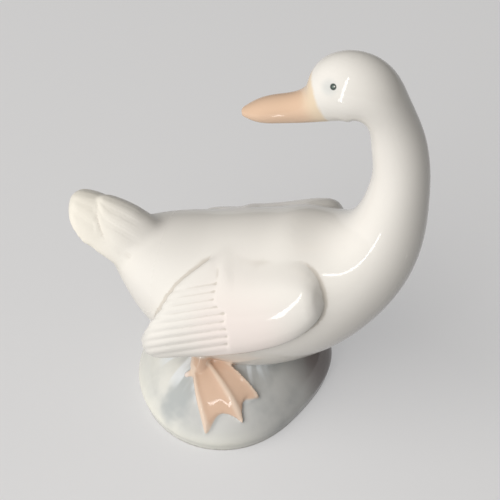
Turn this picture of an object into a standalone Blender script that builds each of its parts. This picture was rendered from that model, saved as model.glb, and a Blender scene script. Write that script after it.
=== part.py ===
"""A duck figurine in glazed porcelain, slip-cast in one piece on a low mound.

Metres, +Z up. The duck faces +X with its head turned back over its tail, its right side
is -Y, and the origin is on the flat underside, under the middle of the mound.
"""
import math

import bmesh
import bpy
import numpy as np
from mathutils import Matrix, Vector
from mathutils.kdtree import KDTree

MM = 0.001

# The cast wall and the vent that lets it breathe in the kiln
WALL = 3.0 * MM
VENT_RADIUS = 3.5 * MM
VENT_X = -13.0 * MM
THROAT_RADIUS = 8.0 * MM

# Mound under the duck
BASE_RADIUS = 30.2 * MM
BASE_OVAL = 2.2 * MM
BASE_OVAL_TURN = math.radians(-120.0)
BASE_LOBES = 1.2 * MM
BASE_LOBES_TURN = math.radians(-80.0)
BASE_EGG = 0.9 * MM
BASE_EGG_TURN = math.radians(-155.0)
BASE_HEIGHT = 19.0 * MM
BASE_RIM_HEIGHT = 3.0 * MM
BASE_TUCK = 1.6 * MM
MOUND_SHOULDER = 0.8
MOUND_SLOPE = 1.25

# Heights of the duck are measured from this line, just inside the crown of the mound
SEAT = BASE_HEIGHT

# Body, neck, head and bill along the middle line, in mm
# x, height over the seat, half width, reach on the back's side, reach on the breast's side
BODY_LINE = (
    (-37.0, 31.5, 5.6, 3.0, 3.6),
    (-31.0, 29.2, 10.8, 7.0, 8.6),
    (-22.0, 25.8, 17.2, 12.5, 16.5),
    (-10.0, 22.5, 21.0, 17.2, 24.0),
    (4.0, 22.0, 22.5, 20.4, 27.5),
    (17.0, 24.5, 22.5, 21.0, 23.0),
    (28.5, 30.5, 20.5, 19.5, 18.0),
    (37.0, 39.0, 15.5, 13.5, 14.3),
    (42.0, 49.0, 11.2, 10.0, 11.2),
    (44.4, 60.0, 8.9, 8.4, 8.8),
    (44.9, 70.0, 7.7, 7.6, 7.5),
    (43.2, 80.0, 7.1, 7.2, 6.8),
    (39.3, 88.4, 7.4, 6.2, 6.8),
    (33.2, 93.4, 8.3, 8.0, 9.4),
    (27.2, 92.6, 7.9, 8.8, 9.3),
    (22.0, 88.6, 5.8, 6.2, 5.2),
    (17.0, 85.9, 4.4, 4.4, 3.8),
    (11.0, 84.1, 4.2, 3.6, 3.6),
    (5.5, 82.6, 3.3, 2.5, 2.5),
    (2.2, 81.8, 1.4, 1.0, 1.0),
)

# Folded wing, from its shoulder to its tip, in mm: upper edge, lower edge, crown, upper thickness
# x, distance from the middle plane, height over the seat, the same again, crown, half thickness
WING_ROWS = (
    (28.4, 17.8, 38.4, 28.9, 19.6, 36.2, 0.9, 1.5),
    (26.8, 15.4, 40.8, 28.6, 21.4, 33.2, 2.1, 1.3),
    (23.0, 12.6, 42.9, 26.6, 22.9, 29.8, 3.3, 0.9),
    (16.8, 10.2, 43.2, 22.4, 24.2, 25.6, 4.2, 0.5),
    (8.3, 8.5, 41.6, 15.5, 25.0, 21.0, 4.7, 0.3),
    (-0.4, 8.6, 40.0, 8.0, 25.2, 17.4, 4.6, 0.7),
    (-5.8, 12.6, 36.9, 0.5, 24.8, 14.2, 3.8, 1.3),
    (-12.4, 17.6, 31.4, -7.0, 24.0, 11.4, 2.9, 1.7),
    (-17.0, 21.2, 24.7, -14.0, 23.2, 8.8, 1.8, 1.9),
    (-21.0, 21.2, 16.8, -20.0, 21.8, 7.0, 0.8, 1.5),
    (-23.4, 19.9, 11.9, -22.8, 20.5, 7.6, 0.2, 1.1),
)
WING_HALF_THICKNESS = 1.9 * MM
WING_ROOT = 5.0 * MM
LEFT_WING_DROP = 1.0 * MM

# Where the wing turns from its round shoulder to its flatter rear, and how blunt its edges are
WING_REAR_START = 2.0 * MM
WING_REAR_BLEND = 4.0 * MM
ROUND_EDGE = 2.0
BLUNT_EDGE = 5.0

# Shares of the way down the wing over which its edges thicken and its relief fades out
THICKENING = 0.4
UPPER_FADE = 0.15
LOWER_FADE = 0.1

# Line of the short feathers: x at its foot, then the heights over the seat at which it steps back
COVERT_STEP = 0.45 * MM
COVERT_START = 4.6 * MM
COVERT_STEPS = ((24.0 * MM, 1.3 * MM), (29.2 * MM, 3.7 * MM))
COVERT_BLEND = 2.0 * MM
COVERT_EDGE = 1.2 * MM

# Grooves between the long feathers of the wing
FEATHER_PITCH = 3.15 * MM
FEATHER_START = -6.8 * MM
FEATHER_SLOPE = 0.45
FEATHER_LEAN = 1.0
FEATHER_COUNT = 8.6
FEATHER_DEPTH = 0.4 * MM
FEATHER_GROOVE = 0.75 * MM
FEATHER_REACH = 0.45 * MM
FEATHER_LEAST = 0.02

# Tail fan along its ridge, in mm: x, height over the seat, half width, fall to the edge, thickness
TAIL_ROWS = (
    (-17.0, 33.0, 9.0, 9.0, 8.0),
    (-23.0, 37.2, 11.0, 9.6, 10.0),
    (-30.0, 40.7, 10.8, 9.8, 8.0),
    (-36.0, 43.2, 10.8, 8.8, 6.6),
    (-41.0, 44.8, 10.3, 7.3, 5.6),
    (-44.6, 45.3, 9.0, 5.1, 4.8),
    (-47.4, 44.9, 6.2, 2.6, 4.0),
    (-48.76, 43.6, 2.8, 1.0, 2.4),
)
TAIL_COVERT_ROWS = (
    (-22.0, 36.6, 10.6, 9.4, 9.0),
    (-28.0, 41.2, 10.8, 9.8, 8.0),
    (-34.0, 44.0, 10.4, 9.0, 6.4),
    (-37.4, 45.0, 8.8, 7.0, 5.0),
    (-39.4, 45.2, 5.0, 3.0, 3.4),
    (-40.2, 45.0, 2.2, 1.0, 2.0),
)

# Lines along which forms run softly into each other, in mm over the seat: two ends and a reach
SOFT_LINES = (
    ((0.0, 9.8, 40.5), (14.0, 10.8, 43.0), 6.0),  # upper edge of the wing
    ((-24.0, 0.0, 38.0), (-30.0, 10.5, 30.0), 7.0),  # over the root of the tail
    ((-38.0, 10.0, 33.0), (-30.0, 10.5, 28.0), 5.0),  # sides of the tail
    ((24.0, 0.0, 83.5), (37.0, 0.0, 82.0), 6.5),  # throat
)
LINE_SOFTNESS = 90

# Webbed foot, seen from above: heel corners in mm, then each toe's turn from the breast and the
# distance of its tip inside the mound's rim
HEEL = ((-10.2, 11.5), (-6.0, 10.8))
HEEL_DRAW = 1.7
OUTER_TOE = (math.radians(93.2), 0.8 * MM)
MIDDLE_TOE = (math.radians(72.0), 1.5 * MM)
INNER_TOE = (math.radians(59.5), 6.2 * MM)
FOOT_THICKNESS = 1.6 * MM
FOOT_SINK = 2.0 * MM
TOE_RIDGE = 0.7 * MM
TOE_RIDGE_WIDTH = 0.09
WEB_SCALLOP = 3.2 * MM
WEB_BOW = 1.6 * MM
SPUR = ((-8.6, 17.4), (-11.6, 18.6))
SPUR_RADIUS = 1.1 * MM

# Leg in mm: x, distance from the middle plane, height over the seat
THIGH = ((-3.0, 9.0, 9.0), (-6.8, 13.2, 0.5))
THIGH_RADIUS = 6.0 * MM
SHANK = ((-6.8, 12.0, 4.0), (-7.8, 17.0, -3.0))
SHANK_RADIUS = 2.7 * MM

# Grain and softness of the skin, and how many faces are kept
BODY_VOXEL = 0.8 * MM
BODY_SOFTNESS = 30
SKIN_VOXEL = 0.45 * MM
SKIN_SOFTNESS = 4
SKIN_FACES = 7400
HOLLOW_VOXEL = 1.2 * MM
HOLLOW_FACES = 900
CUT_MARGIN = 5.0 * MM
FLAT_SNAP = 0.06 * MM


def clear_scene():
    for thing in list(bpy.data.objects):
        bpy.data.objects.remove(thing, do_unlink=True)


def cubic_curve(rows, count, keys):
    """Even readings of a natural cubic through the rows, spaced by their first columns."""
    rows = np.asarray(rows, dtype=float)
    gaps = np.linalg.norm(np.diff(rows[:, :keys], axis=0), axis=1)
    knots = np.concatenate(([0.0], np.cumsum(gaps)))
    size = len(rows)
    system = np.identity(size)
    right = np.zeros_like(rows)
    for i in range(1, size - 1):
        system[i, i - 1:i + 2] = gaps[i - 1], 2.0 * (gaps[i - 1] + gaps[i]), gaps[i]
        right[i] = 6.0 * ((rows[i + 1] - rows[i]) / gaps[i] - (rows[i] - rows[i - 1]) / gaps[i - 1])
    bend = np.linalg.solve(system, right)
    places = np.linspace(0.0, knots[-1], count)
    spans = np.clip(np.searchsorted(knots, places, side="right") - 1, 0, size - 2)
    before = (places - knots[spans])[:, None]
    after = (knots[spans + 1] - places)[:, None]
    gap = gaps[spans][:, None]
    low, high = bend[spans], bend[spans + 1]
    return (
        (low * after ** 3 + high * before ** 3) / (6.0 * gap)
        + (rows[spans] / gap - low * gap / 6.0) * after
        + (rows[spans + 1] / gap - high * gap / 6.0) * before
    )


def smooth_step(value):
    value = min(max(value, 0.0), 1.0)
    return value * value * (3.0 - 2.0 * value)


def loft(name, rings):
    """A closed skin over rings of equal length, with a fan over each end."""
    mesh = bpy.data.meshes.new(name)
    bm = bmesh.new()
    loops = [[bm.verts.new(point) for point in ring] for ring in rings]
    for low, high in zip(loops, loops[1:]):
        for i in range(len(low)):
            j = (i + 1) % len(low)
            bm.faces.new((low[i], low[j], high[j], high[i]))
    for loop in (loops[0], loops[-1]):
        hub = bm.verts.new(sum((vert.co for vert in loop), Vector()) / len(loop))
        for i in range(len(loop)):
            bm.faces.new((loop[i], loop[(i + 1) % len(loop)], hub))
    bmesh.ops.recalc_face_normals(bm, faces=bm.faces)
    bm.to_mesh(mesh)
    bm.free()
    obj = bpy.data.objects.new(name, mesh)
    bpy.context.scene.collection.objects.link(obj)
    return obj


def body_rings(count=170, segments=72, inset=0.0):
    """Ovals across the middle line, from the rump over the breast and neck to the bill."""
    rows = cubic_curve(np.array(BODY_LINE) * MM, count, 2)
    steps = np.gradient(rows[:, :2], axis=0)
    steps /= np.linalg.norm(steps, axis=1)[:, None]
    rings = []
    for (x, height, half, back, breast), (dx, dz) in zip(rows, steps):
        ring = []
        for i in range(segments):
            angle = 2.0 * math.pi * i / segments
            rise = math.sin(angle)
            rise *= (back if rise > 0.0 else breast) - inset
            side = math.cos(angle) * (half - inset)
            ring.append(Vector((x - dz * rise, side, SEAT + height + dx * rise)))
        rings.append(ring)
    return rings


def base_reach(angle):
    """Distance from the middle to the widest part of the mound, in a direction."""
    return (
        BASE_RADIUS
        + BASE_OVAL * math.cos(2.0 * (angle - BASE_OVAL_TURN))
        + BASE_LOBES * math.cos(3.0 * (angle - BASE_LOBES_TURN))
        + BASE_EGG * math.cos(angle - BASE_EGG_TURN)
    )


def mound_height(x, y):
    """Height of the mound's skin over a point."""
    share = math.hypot(x, y) / base_reach(math.atan2(y, x))
    turn = math.acos(min(share, 1.0) ** (1.0 / MOUND_SHOULDER))
    return BASE_RIM_HEIGHT + (BASE_HEIGHT - BASE_RIM_HEIGHT) * math.sin(turn) ** MOUND_SLOPE


def base_mound(segments=96, steps=14, inset=0.0):
    tuck = 1.0 - BASE_TUCK / BASE_RADIUS
    profile = [
        (tuck, inset if inset else -CUT_MARGIN),
        (tuck + (1.0 - tuck) * 0.7, BASE_RIM_HEIGHT * 0.45 + inset),
        (1.0, BASE_RIM_HEIGHT + inset * 1.2),
    ]
    for i in range(1, steps):
        turn = 0.5 * math.pi * i / steps
        rise = (BASE_HEIGHT - BASE_RIM_HEIGHT - inset) * math.sin(turn) ** MOUND_SLOPE
        profile.append((math.cos(turn) ** MOUND_SHOULDER, BASE_RIM_HEIGHT + rise))
    rings = []
    for share, height in profile:
        ring = []
        for i in range(segments):
            angle = 2.0 * math.pi * i / segments
            reach = share * (base_reach(angle) - inset)
            ring.append(Vector((reach * math.cos(angle), reach * math.sin(angle), height)))
        rings.append(ring)
    return loft("mound", rings)


def covert_line(height):
    """Where the long feathers come out from under the short ones, in steps as the height grows."""
    place = COVERT_START
    for step_height, step_back in COVERT_STEPS:
        place -= step_back * smooth_step((height - step_height) / COVERT_BLEND)
    return place


def wing_rings(side, count=110, segments=64):
    """Rings across a folded wing, and for each of their points how much long feather it is.

    The wing is a crowned leaf with thick round edges, its root thick enough to meet the body.
    """
    rows = cubic_curve(np.array(WING_ROWS) * MM, count, 6)
    rows[:, (2, 5)] += SEAT - (LEFT_WING_DROP if side > 0.0 else 0.0)
    uppers = [Vector((row[0], side * row[1], row[2])) for row in rows]
    lowers = [Vector((row[3], side * row[4], row[5])) for row in rows]
    rings, feathers = [], []
    half = segments // 2
    for k, (upper, lower, row) in enumerate(zip(uppers, lowers, rows)):
        ahead = uppers[min(k + 1, count - 1)] + lowers[min(k + 1, count - 1)]
        behind = uppers[max(k - 1, 0)] + lowers[max(k - 1, 0)]
        out = (ahead - behind).cross(lower - upper).normalized()
        if out.y * side < 0.0:
            out.negate()
        rear = smooth_step((WING_REAR_START - upper.x) / WING_REAR_BLEND)
        taper = min(1.0, math.sin(math.pi * (k + 1) / (count + 1)) * 3.0) ** 0.5
        ring, feather = [], []
        for i in range(segments):
            share = i / half if i < half else 2.0 - i / half
            outward = 1.0 if i < half else -1.0
            blunt = BLUNT_EDGE if share > 0.5 else ROUND_EDGE + (BLUNT_EDGE - ROUND_EDGE) * rear
            round_edge = (1.0 - abs(2.0 * share - 1.0) ** blunt) ** 0.5
            point = upper.lerp(lower, share) + out * row[6] * math.sin(math.pi * share)
            thickness = row[7] + (WING_HALF_THICKNESS - row[7]) * smooth_step(share / THICKENING)
            lift = outward * thickness * taper * round_edge
            inside = smooth_step(share / UPPER_FADE) * smooth_step((1.0 - share) / LOWER_FADE) * taper
            long_feather = smooth_step((covert_line(point.z - SEAT) - point.x) / COVERT_EDGE)
            if i < half:
                lift += (1.0 - long_feather) * COVERT_STEP * inside
                long_feather *= smooth_step((1.0 - share) / LOWER_FADE)
            else:
                lift -= WING_ROOT * math.sin(math.pi * share) * taper
                long_feather *= rear * smooth_step(1.0 - share / LOWER_FADE)
            ring.append(point + out * lift)
            feather.append(long_feather)
        rings.append(ring)
        feathers.append(feather)
    return rings, feathers


def score_feathers(obj):
    """Press the grooves between the long feathers into the skin of both wings."""
    marks = []
    for side in (-1.0, 1.0):
        for ring, feather in zip(*wing_rings(side)):
            marks += list(zip(ring, feather))
    tree = KDTree(len(marks))
    for i, (point, _) in enumerate(marks):
        tree.insert(point, i)
    tree.balance()

    def feather_at(place):
        _, i, gap = tree.find(place)
        return marks[i][1] * (1.0 - smooth_step(gap / FEATHER_REACH - 1.0))

    bm = bmesh.new()
    bm.from_mesh(obj.data)
    start = Vector((0.0, 0.0, SEAT + FEATHER_START))
    for side in (-1.0, 1.0):
        across = Vector((-FEATHER_SLOPE, -side * FEATHER_LEAN, 1.0))
        faces = [
            face for face in bm.faces
            if max(feather_at(vert.co) * (vert.co.y * side > 0.0) for vert in face.verts) > FEATHER_LEAST
        ]
        edges = {edge for face in faces for edge in face.edges}
        verts = {vert for face in faces for vert in face.verts}
        patch = sorted(verts, key=lambda item: item.index)
        patch += sorted(edges, key=lambda item: item.index) + faces
        turns = [(vert.co - start).dot(across) / FEATHER_PITCH for vert in verts]
        for k in range(math.ceil(min(turns)), math.floor(FEATHER_COUNT) + 1):
            for shift in (-FEATHER_GROOVE, 0.0, FEATHER_GROOVE):
                place = start + across * (k * FEATHER_PITCH + shift) / across.length_squared
                patch = bmesh.ops.bisect_plane(bm, geom=patch, plane_co=place, plane_no=across)["geom"]
        bm.normal_update()
        bm.verts.index_update()
        bm.edges.index_update()
        for vert in [item for item in patch if isinstance(item, bmesh.types.BMVert)]:
            turn = (vert.co - start).dot(across) / FEATHER_PITCH
            off = abs(turn - round(turn)) * FEATHER_PITCH
            if turn < FEATHER_COUNT:
                groove = max(0.0, 1.0 - off / FEATHER_GROOVE) * feather_at(vert.co)
                vert.co -= vert.normal * FEATHER_DEPTH * groove
    bm.to_mesh(obj.data)
    bm.free()


def fan(name, table, count=60, segments=48):
    """Feathers of the tail as one roof-shaped blade with round edges."""
    rings = []
    for x, height, half, fall, thickness in cubic_curve(np.array(table) * MM, count, 2):
        ring = []
        for i in range(segments):
            angle = 2.0 * math.pi * i / segments
            across = math.cos(angle)
            roof = SEAT + height - fall * abs(across) ** 1.7
            depth = 0.5 * thickness * (1.0 - math.sin(angle))
            ring.append(Vector((x, half * across, roof - depth)))
        rings.append(ring)
    return loft(name, rings)


def between(start, end, share):
    return tuple(a + (b - a) * share for a, b in zip(start, end))


def toe_tip(side, toe):
    """Where a toe ends, in mm from the middle and from the middle plane."""
    turn, margin = toe
    reach = (base_reach(side * turn) - margin) / MM
    return reach * math.cos(turn), reach * math.sin(turn)


def foot(side, count=30, spread=40):
    """A webbed foot draped over the mound: three ridged toes and two scalloped webs."""
    outer, middle, inner = (toe_tip(side, toe) for toe in (OUTER_TOE, MIDDLE_TOE, INNER_TOE))
    rings = []
    for k in range(count + 1):
        along = k / count
        top, bottom = [], []
        for i in range(spread + 1):
            share = i / spread
            if share < 0.5:
                edge = between(outer, middle, share * 2.0)
            else:
                edge = between(middle, inner, share * 2.0 - 1.0)
            heel = between(HEEL[0], HEEL[1], share ** HEEL_DRAW)
            length = math.dist(heel, edge) * MM
            cut = WEB_SCALLOP / length * math.sin(math.pi * ((share * 2.0) % 1.0)) ** 0.8
            reach = along * (1.0 - cut)
            x, y = (value * MM for value in between(heel, edge, reach))
            bow = WEB_BOW * math.sin(math.pi * reach) * (1.0 - share) ** 2
            x -= bow * 0.9
            y += bow * 0.4
            ridge = max(math.exp(-((share - toe) / TOE_RIDGE_WIDTH) ** 2) for toe in (0.0, 0.5, 1.0))
            skin = mound_height(x, side * y)
            rise = (FOOT_THICKNESS + TOE_RIDGE * ridge) * (1.0 - 0.25 * along ** 8)
            top.append(Vector((x, side * y, skin + rise)))
            bottom.append(Vector((x, side * y, skin - FOOT_SINK)))
        rings.append(top + bottom[::-1])
    return loft("foot", rings)


def rod(start, end, radius_start, radius_end, segments=24, steps=10):
    """A round-ended tapering rod, for the shank and the hind toe."""
    start, end = Vector(start), Vector(end)
    turn = (end - start).to_track_quat("Z", "Y").to_matrix()
    rings = []
    for k in range(steps + 1):
        along = k / steps
        radius = radius_start + (radius_end - radius_start) * along
        radius *= max(0.15, math.sqrt(max(0.0, 1.0 - abs(2.0 * along - 1.0) ** 6)))
        middle = start.lerp(end, along)
        rings.append([
            middle + turn @ Vector((
                radius * math.cos(2.0 * math.pi * i / segments),
                radius * math.sin(2.0 * math.pi * i / segments),
                0.0,
            ))
            for i in range(segments)
        ])
    return loft("rod", rings)


def beside(side, x, y, z):
    """A point given in mm over the seat, on one side of the duck."""
    return Vector((x * MM, side * y * MM, SEAT + z * MM))


def leg(side):
    """The short shank out of the belly and the hind toe behind it."""
    ends = [beside(side, *end) for end in SHANK]
    parts = [rod(ends[0], ends[1], SHANK_RADIUS * 1.2, SHANK_RADIUS)]
    spur = []
    for x, y in SPUR:
        x, y = x * MM, side * y * MM
        spur.append(Vector((x, y, mound_height(x, y) + SPUR_RADIUS * 0.5)))
    parts.append(rod(spur[0], spur[1], SPUR_RADIUS, SPUR_RADIUS * 0.6))
    return parts


def join(name, parts):
    mesh = bpy.data.meshes.new(name)
    bm = bmesh.new()
    for part in parts:
        bm.from_mesh(part.data)
    bm.to_mesh(mesh)
    bm.free()
    for part in parts:
        bpy.data.objects.remove(part, do_unlink=True)
    obj = bpy.data.objects.new(name, mesh)
    bpy.context.scene.collection.objects.link(obj)
    return obj


def settle(obj):
    """Swap an object's mesh for what its modifiers make of it."""
    bpy.context.view_layer.update()
    done = bpy.data.meshes.new_from_object(obj.evaluated_get(bpy.context.evaluated_depsgraph_get()))
    obj.modifiers.clear()
    obj.data = done
    return obj


def run_together(name, parts, voxel, softness):
    """Parts that overlap become one skin, its joins as soft as glaze leaves them."""
    skin = join(name, parts)
    remesh = skin.modifiers.new("one_skin", "REMESH")
    remesh.mode = "VOXEL"
    remesh.voxel_size = voxel
    soften = skin.modifiers.new("soft_joins", "SMOOTH")
    soften.factor = 0.5
    soften.iterations = round(softness)
    return settle(skin)


def thin_out(obj, faces):
    """Fewer faces, kept where the form bends."""
    thin = obj.modifiers.new("fewer_faces", "DECIMATE")
    thin.ratio = faces / sum(len(face.vertices) - 2 for face in obj.data.polygons)
    thin.use_collapse_triangulate = True
    return settle(obj)


def outer_forms():
    return [loft("body", body_rings()), base_mound(), fan("tail", TAIL_ROWS)]


def flatten_underside(obj):
    """Cut the mound level with the ground and close it with a flat face."""
    bm = bmesh.new()
    bm.from_mesh(obj.data)
    everything = list(bm.verts) + list(bm.edges) + list(bm.faces)
    found = bmesh.ops.bisect_plane(bm, geom=everything, plane_no=(0.0, 0.0, 1.0), clear_inner=True)
    rim = [item for item in found["geom_cut"] if isinstance(item, bmesh.types.BMEdge)]
    bmesh.ops.triangle_fill(bm, edges=rim, use_beauty=True)
    bmesh.ops.recalc_face_normals(bm, faces=bm.faces)
    bm.to_mesh(obj.data)
    bm.free()


def level_underside(obj):
    """Bring points that thinning left a hair off the ground back onto it."""
    for vert in obj.data.vertices:
        if abs(vert.co.z) < FLAT_SNAP:
            vert.co.z = 0.0


def duck_skin():
    """Soft fillets where the forms meet, with the forms themselves, wings and feet over them."""
    soft = outer_forms()
    for side in (-1.0, 1.0):
        ends = [beside(side, *end) for end in THIGH]
        soft.append(rod(ends[0], ends[1], THIGH_RADIUS, THIGH_RADIUS * 0.55))
    parts = [run_together("fillets", soft, BODY_VOXEL, BODY_SOFTNESS)] + outer_forms()
    parts.append(fan("tail_covert", TAIL_COVERT_ROWS))
    for side in (-1.0, 1.0):
        parts += [loft("wing", wing_rings(side)[0]), foot(side)] + leg(side)
    skin = run_together("duck_figurine", parts, SKIN_VOXEL, SKIN_SOFTNESS)
    soften_lines(skin)
    flatten_underside(skin)
    thin_out(skin, SKIN_FACES)
    level_underside(skin)
    score_feathers(skin)
    return skin


def nearness(place, start, end, reach):
    """One close to a straight line, falling to nothing at the reach, in mm over the seat."""
    start, end = Vector(start), Vector(end)
    along = (place - start).dot(end - start) / (end - start).length_squared
    gap = (place - start.lerp(end, min(max(along, 0.0), 1.0))).length
    return smooth_step(2.0 - 2.0 * gap / reach)


def soften_lines(obj):
    """Let the forms run softly into each other along the soft lines, on both sides alike."""
    group = obj.vertex_groups.new(name="soft_lines")
    for vert in obj.data.vertices:
        place = Vector((vert.co.x, abs(vert.co.y), vert.co.z - SEAT)) / MM
        near = max(nearness(place, *line) for line in SOFT_LINES)
        if near > 0.0:
            group.add((vert.index,), near, "REPLACE")
    soften = obj.modifiers.new("soft_lines", "SMOOTH")
    soften.factor = 0.5
    soften.iterations = round(LINE_SOFTNESS)
    soften.vertex_group = group.name
    settle(obj)


def hollow():
    """The space left inside when the slip was poured out, up to the head."""
    rows = cubic_curve(np.array(BODY_LINE) * MM, 170, 2)
    rings = body_rings(inset=WALL)
    roomy = [ring for ring, row in zip(rings, rows) if min(row[2:]) > WALL * 1.5]
    parts = [loft("body_room", roomy), base_mound(inset=WALL)]
    parts.append(rod((0.0, 0.0, WALL * 2.0), (0.0, 0.0, SEAT + WALL * 2.0), THROAT_RADIUS, THROAT_RADIUS))
    return thin_out(run_together("room", parts, HOLLOW_VOXEL, BODY_SOFTNESS), HOLLOW_FACES)


def cylinder(name, radius, low, high, x, segments=32):
    mesh = bpy.data.meshes.new(name)
    bm = bmesh.new()
    bmesh.ops.create_cone(
        bm,
        cap_ends=True,
        segments=segments,
        radius1=radius,
        radius2=radius,
        depth=high - low,
        matrix=Matrix.Translation((x, 0.0, (low + high) / 2.0)),
    )
    bm.to_mesh(mesh)
    bm.free()
    obj = bpy.data.objects.new(name, mesh)
    bpy.context.scene.collection.objects.link(obj)
    return obj


def cut(obj, cutter):
    boolean = obj.modifiers.new(cutter.name, "BOOLEAN")
    boolean.operation = "DIFFERENCE"
    boolean.solver = "EXACT"
    boolean.object = cutter
    cutter.hide_render = True
    cutter.display_type = "WIRE"


def glaze():
    material = bpy.data.materials.new("glazed_porcelain")
    material.use_nodes = True
    shader = material.node_tree.nodes["Principled BSDF"]
    shader.inputs["Base Color"].default_value = (0.83, 0.80, 0.75, 1.0)
    shader.inputs["Roughness"].default_value = 0.12
    shader.inputs["Metallic"].default_value = 0.0
    return material


clear_scene()
duck = duck_skin()
cut(duck, hollow())
cut(duck, cylinder("vent", VENT_RADIUS, -CUT_MARGIN, WALL + CUT_MARGIN, VENT_X))
duck.data.materials.clear()
duck.data.materials.append(glaze())
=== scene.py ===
import math

import bmesh
import bpy
import numpy as np
from mathutils import Matrix, Vector
from mathutils.kdtree import KDTree


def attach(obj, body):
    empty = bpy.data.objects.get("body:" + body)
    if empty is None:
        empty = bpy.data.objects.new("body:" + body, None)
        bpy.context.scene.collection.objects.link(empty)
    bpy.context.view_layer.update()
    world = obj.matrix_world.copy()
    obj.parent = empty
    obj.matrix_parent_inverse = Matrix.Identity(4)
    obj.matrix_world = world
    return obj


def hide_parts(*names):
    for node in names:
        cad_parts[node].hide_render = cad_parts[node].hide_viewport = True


# A glazed porcelain duck on its mound, at its real size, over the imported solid.
# Metres, +Z up: the duck faces +X, its head turns back over its tail, its right side is -Y.
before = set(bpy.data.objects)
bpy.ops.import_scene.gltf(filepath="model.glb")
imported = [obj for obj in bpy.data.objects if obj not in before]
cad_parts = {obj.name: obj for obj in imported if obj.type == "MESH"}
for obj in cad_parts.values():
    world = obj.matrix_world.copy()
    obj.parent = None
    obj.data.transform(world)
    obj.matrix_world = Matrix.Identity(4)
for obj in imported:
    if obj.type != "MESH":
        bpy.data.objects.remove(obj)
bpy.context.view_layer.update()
mm = 0.001
seat = 19.0 * mm  # heights of the duck are measured over this line, just inside the mound's crown
print("frame loaded")


# even readings of a natural cubic through the rows, spaced by their first columns
def naturalCubic(rows, count, keys):
    rows = np.asarray(rows, dtype=float)
    gaps = np.linalg.norm(np.diff(rows[:, :keys], axis=0), axis=1)
    knots = np.concatenate(([0.0], np.cumsum(gaps)))
    size = len(rows)
    system = np.identity(size)
    right = np.zeros_like(rows)
    for i in range(1, size - 1):
        system[i, i - 1:i + 2] = gaps[i - 1], 2.0 * (gaps[i - 1] + gaps[i]), gaps[i]
        right[i] = 6.0 * ((rows[i + 1] - rows[i]) / gaps[i] - (rows[i] - rows[i - 1]) / gaps[i - 1])
    bend = np.linalg.solve(system, right)
    places = np.linspace(0.0, knots[-1], count)
    spans = np.clip(np.searchsorted(knots, places, side="right") - 1, 0, size - 2)
    before = (places - knots[spans])[:, None]
    after = (knots[spans + 1] - places)[:, None]
    gap = gaps[spans][:, None]
    low, high = bend[spans], bend[spans + 1]
    return (
        (low * after ** 3 + high * before ** 3) / (6.0 * gap)
        + (rows[spans] / gap - low * gap / 6.0) * after
        + (rows[spans + 1] / gap - high * gap / 6.0) * before
    )


def smoothStep(value):
    value = min(max(value, 0.0), 1.0)
    return value * value * (3.0 - 2.0 * value)


def newPiece(name, mesh):
    piece = bpy.data.objects.new(name, mesh)
    bpy.context.scene.collection.objects.link(piece)
    return piece


# a closed skin over rings of equal length, with a fan over each end
def loft(name, rings):
    mesh = bpy.data.meshes.new(name)
    bm = bmesh.new()
    loops = [[bm.verts.new(point) for point in ring] for ring in rings]
    for low, high in zip(loops, loops[1:]):
        for i in range(len(low)):
            j = (i + 1) % len(low)
            bm.faces.new((low[i], low[j], high[j], high[i]))
    for loop in (loops[0], loops[-1]):
        hub = bm.verts.new(sum((vert.co for vert in loop), Vector()) / len(loop))
        for i in range(len(loop)):
            bm.faces.new((loop[i], loop[(i + 1) % len(loop)], hub))
    bmesh.ops.recalc_face_normals(bm, faces=bm.faces)
    bm.to_mesh(mesh)
    bm.free()
    return newPiece(name, mesh)


# Body, neck, head and bill as one long form

duckBody = {
    # along the middle line in mm: x, height over the seat, half width, reach to back, reach to breast
    "line": [
        (-37.0, 31.5, 5.6, 3.0, 3.6), (-31.0, 29.2, 10.8, 7.0, 8.6), (-22.0, 25.8, 17.2, 12.5, 16.5),
        (-10.0, 22.5, 21.0, 17.2, 24.0), (4.0, 22.0, 22.5, 20.4, 27.5), (17.0, 24.5, 22.5, 21.0, 23.0),
        (28.5, 30.5, 20.5, 19.5, 18.0), (37.0, 39.0, 15.5, 13.5, 14.3), (42.0, 49.0, 11.2, 10.0, 11.2),
        (44.4, 60.0, 8.9, 8.4, 8.8), (44.9, 70.0, 7.7, 7.6, 7.5), (43.2, 80.0, 7.1, 7.2, 6.8),
        (39.3, 88.4, 7.4, 6.2, 6.8), (33.2, 93.4, 8.3, 8.0, 9.4), (27.2, 92.6, 7.9, 8.8, 9.3),
        (22.0, 88.6, 5.8, 6.2, 5.2), (17.0, 85.9, 4.4, 4.4, 3.8), (11.0, 84.1, 4.2, 3.6, 3.6),
        (5.5, 82.6, 3.3, 2.5, 2.5), (2.2, 81.8, 1.4, 1.0, 1.0),
    ],
    "rings": 260,
    "ringPoints": 128,
    "wall": 3.0 * mm,
    "grain": 0.7 * mm,  # voxels of the soft fillets between the forms
    "softness": 40,
    "skinGrain": 0.42 * mm,  # voxels of the finished skin
    "skinSoftness": 5,
    "skinFaces": 176000,
    "slender": 1.5,  # in walls: rings narrower than this hold no room
    "roomGrain": 1.2 * mm,
    "roomSoftness": 30,
    "roomFaces": 9000,
}


def bodyRings(inset=0.0):
    rows = naturalCubic(np.array(duckBody["line"]) * mm, duckBody["rings"], 2)
    steps = np.gradient(rows[:, :2], axis=0)
    steps /= np.linalg.norm(steps, axis=1)[:, None]
    count = duckBody["ringPoints"]
    rings = []
    for (x, height, half, back, breast), (dx, dz) in zip(rows, steps):
        if inset and min(half, back, breast) < inset * duckBody["slender"]:
            continue
        ring = []
        for i in range(count):
            angle = 2.0 * math.pi * i / count
            rise = math.sin(angle)
            rise *= (back if rise > 0.0 else breast) - inset
            ring.append(Vector((x - dz * rise, math.cos(angle) * (half - inset), seat + height + dx * rise)))
        rings.append(ring)
    return rings


# Mound under the duck

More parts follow.
